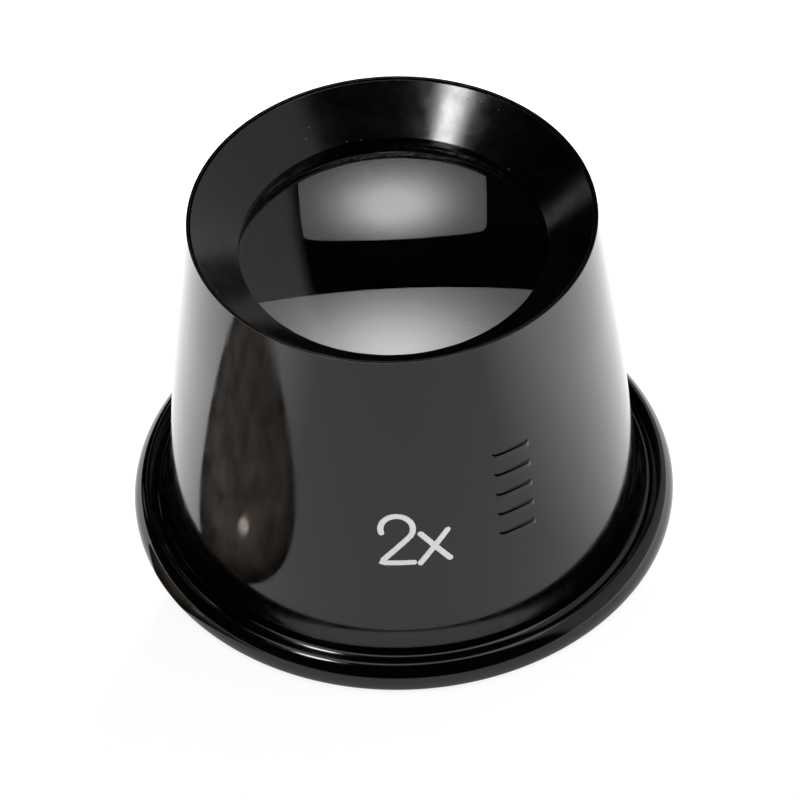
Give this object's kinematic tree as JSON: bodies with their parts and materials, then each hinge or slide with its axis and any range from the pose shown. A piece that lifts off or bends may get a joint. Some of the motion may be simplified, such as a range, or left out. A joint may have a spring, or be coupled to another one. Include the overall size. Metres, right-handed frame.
{
  "type": "viewing loupe",
  "caption": "Eye loupe: a flared gloss-black eyecup with a rolled brim and a dished lens cell that screws into its narrow end, holding a glass lens",
  "frame": {"origin": "on the loupe's axis, in the plane that the eye rim rests on", "axes": "+Z runs from the eye rim to the lens end along the loupe's axis; X and Y are free, because the loupe is round"},
  "size_m": [0.0424, 0.0424, 0.03],
  "materials": {
    "body_plastic": "injection-moulded black plastic, high gloss, faint scuffs",
    "cell_plastic": "turned black plastic, gloss, with fine ring marks and a little dust",
    "lens_glass": "polished uncoated crown glass",
    "spring_wire": "black-oxide spring steel wire"
  },
  "bodies": {
    "eyecup": {"eyecup_shell": "body_plastic"},
    "lens": {"lens": "lens_glass"},
    "cell": {"lens_cell": "cell_plastic", "snap_ring": "spring_wire"}
  },
  "joints": [
    {"name": "cell_rise", "type": "slide", "parent": "eyecup", "child": "lens", "axis": [0, 0, 1], "range_m": [0, 0.003]},
    {"name": "cell_turn", "type": "hinge", "parent": "lens", "child": "cell", "pos_m": [0, 0, 0.026], "axis": [0, 0, 1], "range_deg": [0, 1080]}
  ],
  "couplings": [
    {"joint": "cell_rise", "follows": "cell_turn", "m_per_rad": 0.00015915}
  ]
}
